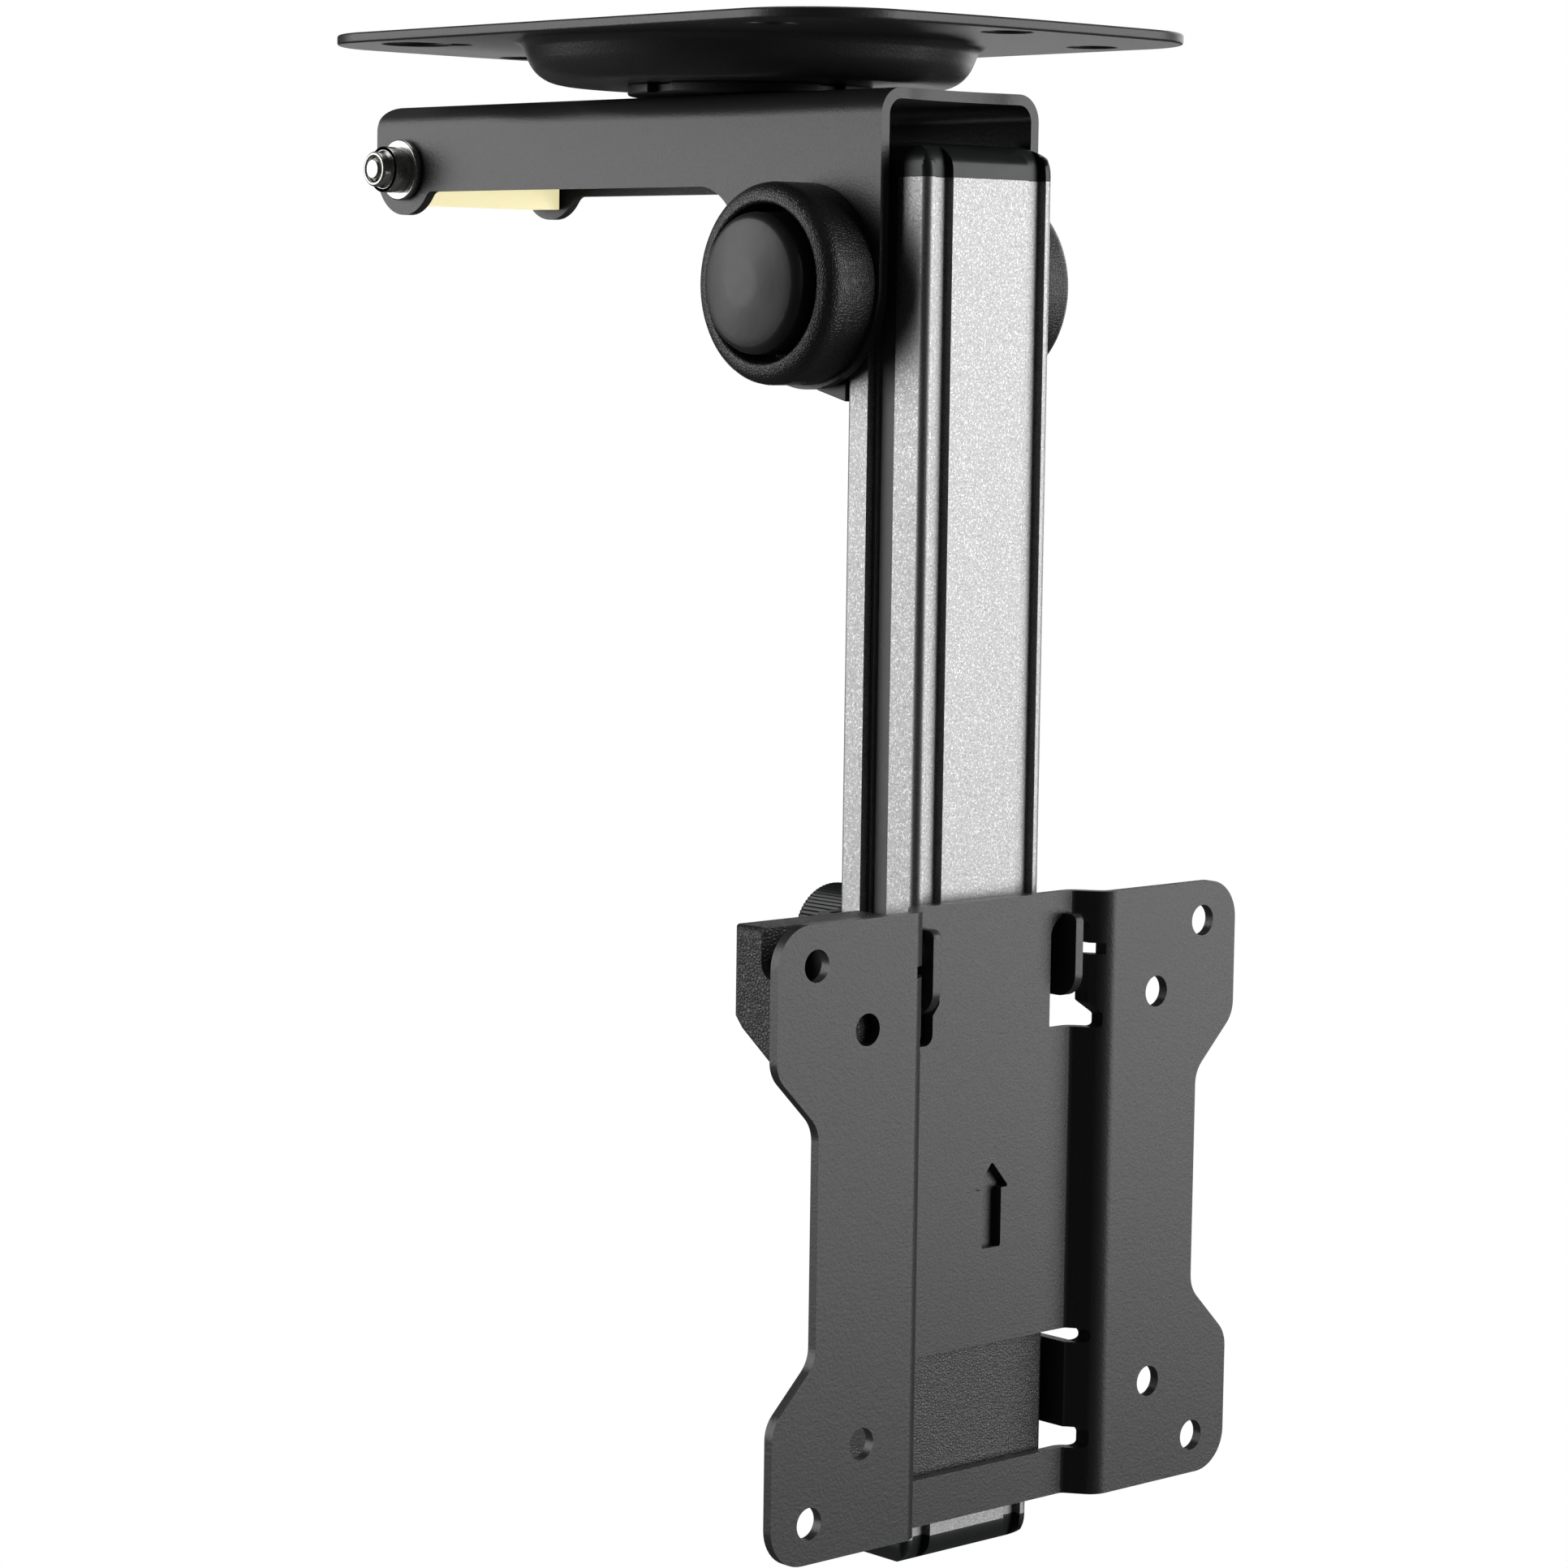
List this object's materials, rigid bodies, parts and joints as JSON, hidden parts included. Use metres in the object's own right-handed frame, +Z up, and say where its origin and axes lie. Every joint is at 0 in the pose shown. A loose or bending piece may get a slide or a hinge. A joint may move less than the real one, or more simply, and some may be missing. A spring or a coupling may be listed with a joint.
{
  "type": "tv ceiling mount",
  "caption": "Flip-down ceiling mount for a small screen: swivelling steel channel, folding aluminium arm, sliding carriage and a folded screen plate.",
  "frame": {"origin": "centre of the ceiling plate's mounting face, on the swivel axis", "axes": "+Z up out of the mounting face, +Y towards the channel's far end, the screen faces -Y"},
  "size_m": [0.1184, 0.1677, 0.2836],
  "materials": {
    "powder_black": "fine orange-peel powder coat",
    "textured_black": "leather-grained moulding",
    "smooth_black": "smooth satin moulding",
    "zinc_steel": "bright zinc plate",
    "satin_aluminium": "satin with a metallic fleck",
    "pale_pad": "smooth pale nylon"
  },
  "bodies": {
    "root": {"ceiling_plate": "powder_black", "swivel_bolt": "zinc_steel", "swivel_disc": "smooth_black", "swivel_friction_washer": "smooth_black", "swivel_washer": "zinc_steel", "swivel_disc_spring": "zinc_steel", "swivel_lock_nut": "zinc_steel"},
    "channel": {"channel_bracket": "powder_black", "stop_bolt": "zinc_steel", "stop_washers": "zinc_steel", "stop_nut": "zinc_steel", "right_pivot_cover": "smooth_black", "right_pivot_cap": "smooth_black", "left_pivot_cover": "smooth_black", "left_pivot_cap": "smooth_black", "pivot_bolt": "zinc_steel", "pivot_nut": "zinc_steel", "pivot_washers": "zinc_steel", "bumper_pad": "pale_pad"},
    "arm": {"arm_extrusion": "satin_aluminium", "top_cap": "smooth_black", "bottom_cap": "smooth_black", "right_slot_strip": "smooth_black", "left_slot_strip": "smooth_black", "hinge_block": "powder_black", "hinge_screws": "zinc_steel", "hinge_friction_washers": "smooth_black"},
    "carriage": {"carriage_liner": "textured_black", "carriage_bracket": "powder_black", "clamp_nut": "zinc_steel", "latch_housing": "textured_black", "latch_spring": "zinc_steel"},
    "knob": {"clamp_knob": "smooth_black", "clamp_screw": "zinc_steel"},
    "latch": {"latch_slider": "smooth_black"},
    "plate": {"vesa_plate": "powder_black"}
  },
  "joints": [
    {"name": "swivel", "type": "hinge", "parent": "root", "child": "channel", "pos_m": [0, 0, 0], "axis": [0, 0, 1], "range_deg": [-90, 90]},
    {"name": "fold", "type": "hinge", "parent": "channel", "child": "arm", "pos_m": [0, -0.0385, -0.0475], "axis": [1, 0, 0], "range_deg": [-15, 90]},
    {"name": "height", "type": "slide", "parent": "arm", "child": "carriage", "axis": [0, 0, 1], "range_m": [0, 0.085]},
    {"name": "clamp_turn", "type": "hinge", "parent": "carriage", "child": "knob", "pos_m": [0, -0.03, -0.17], "axis": [0, 1, 0], "range_deg": [-360, 0]},
    {"name": "latch_pull", "type": "slide", "parent": "carriage", "child": "latch", "axis": [-1, 0, 0], "range_m": [0, 0.006], "stiffness_N_per_m": 100, "deforming": ["latch_spring"]},
    {"name": "plate_lift", "type": "slide", "parent": "carriage", "child": "plate", "axis": [0, 0, 1], "range_m": [0, 0.0012]}
  ],
  "couplings": [
    {"joint": "latch_pull", "follows": "plate_lift", "ratio": 5}
  ]
}
